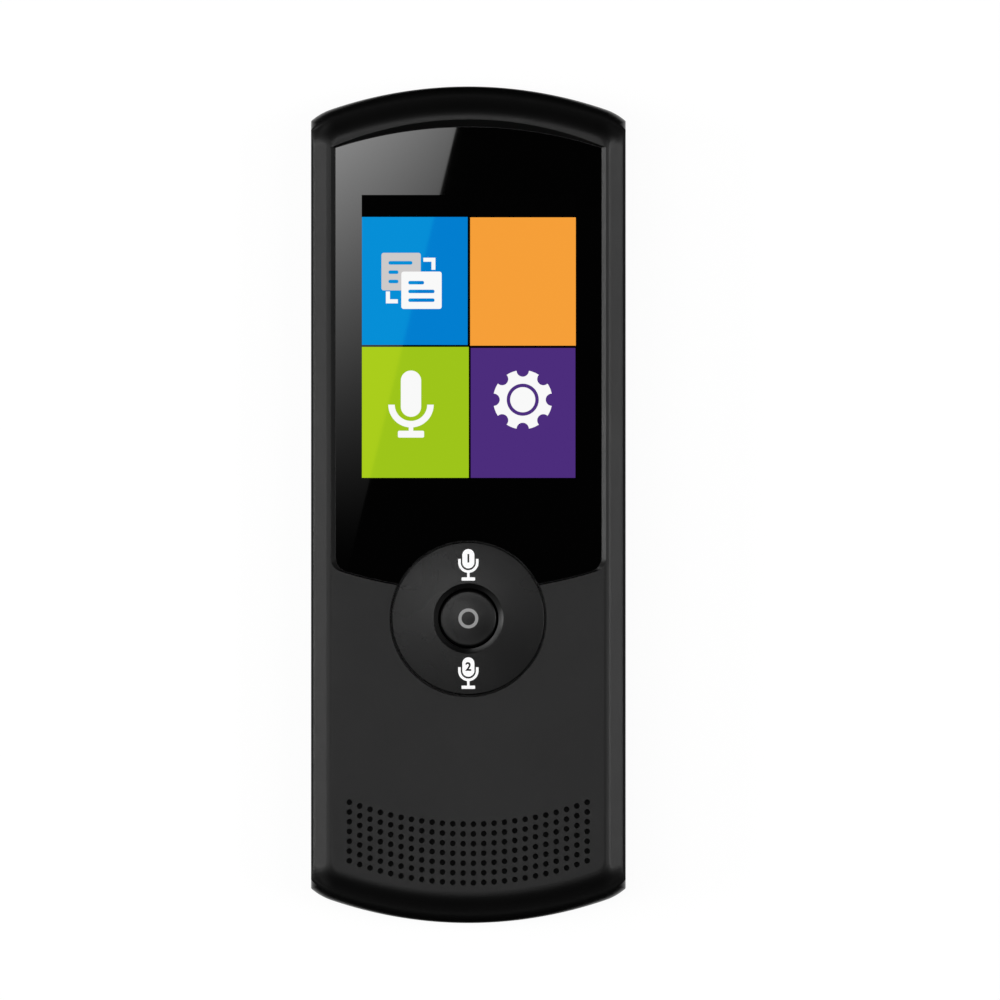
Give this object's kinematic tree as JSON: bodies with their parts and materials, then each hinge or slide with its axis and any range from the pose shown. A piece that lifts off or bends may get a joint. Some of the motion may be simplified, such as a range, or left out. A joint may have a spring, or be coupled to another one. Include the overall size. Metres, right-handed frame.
{
  "type": "handheld translator",
  "caption": "Slim handheld translator with arched ends, a black cover lens over a tiled display, a rocker ring key with a centre key, side keys and a field of speaker holes.",
  "frame": {"origin": "under the middle of the casing, on the surface that it lies on", "axes": "+Z out of the display, +Y towards the top end, +X to the right of the display"},
  "size_m": [0.054, 0.1436, 0.0133],
  "materials": {
    "casing": "fine moulded grain",
    "lens": "black gloss",
    "tape": "adhesive film",
    "display": "lit display pane",
    "display_back": "display glass",
    "metal": "stamped metal",
    "ribbon": "polyimide ribbon",
    "connector": "moulded connector",
    "key": "satin moulding",
    "silicone": "silicone",
    "board": "solder mask",
    "chip": "moulded package",
    "components": "ceramic",
    "cell": "foil pouch",
    "lead": "insulated wire",
    "foam": "foam",
    "mesh": "woven dust mesh",
    "socket": "moulded socket",
    "screw": "blackened steel"
  },
  "bodies": {
    "casing": {"front_shell": "casing", "rear_shell": "casing", "cover_lens": "lens", "lens_tape": "tape", "display_window": "display", "display_panel": "display_back", "display_tray": "metal", "display_ribbon": "ribbon", "display_socket": "connector", "key_web": "silicone", "key_domes": "metal", "main_board": "board", "processor_chip": "chip", "memory_chip": "chip", "shield_can": "metal", "board_parts": "components", "board_screws": "metal", "battery_cell": "cell", "battery_tape": "tape", "battery_plug": "connector", "battery_leads": "lead", "speaker_driver": "chip", "speaker_gasket": "foam", "speaker_mesh": "mesh", "charge_board": "board", "charge_socket": "metal", "board_link": "ribbon", "lower_microphone": "metal", "upper_microphone": "metal", "audio_socket": "socket", "power_switch": "metal", "volume_switches": "metal", "antenna": "ribbon", "case_screws": "screw"},
    "ring": {"ring_key": "key"},
    "centre": {"centre_key": "key"},
    "power": {"power_key": "key"},
    "volume": {"volume_key": "key"}
  },
  "joints": [
    {"name": "ring_rock", "type": "hinge", "parent": "casing", "child": "ring", "pos_m": [0, -0.0195, 0.0095], "axis": [1, 0, 0], "range_deg": [-1.8, 1.8], "stiffness_Nm_per_rad": 0.6, "deforming": ["key_web"]},
    {"name": "centre_press", "type": "slide", "parent": "casing", "child": "centre", "axis": [0, 0, -1], "range_m": [0, 0.0003], "stiffness_N_per_m": 1500},
    {"name": "power_press", "type": "slide", "parent": "casing", "child": "power", "axis": [-1, 0, 0], "range_m": [0, 0.0004], "stiffness_N_per_m": 1500},
    {"name": "volume_rock", "type": "hinge", "parent": "casing", "child": "volume", "pos_m": [-0.0251, 0.034, 0.0047], "axis": [0, 0, 1], "range_deg": [-1.5, 1.5], "stiffness_Nm_per_rad": 0.3}
  ]
}
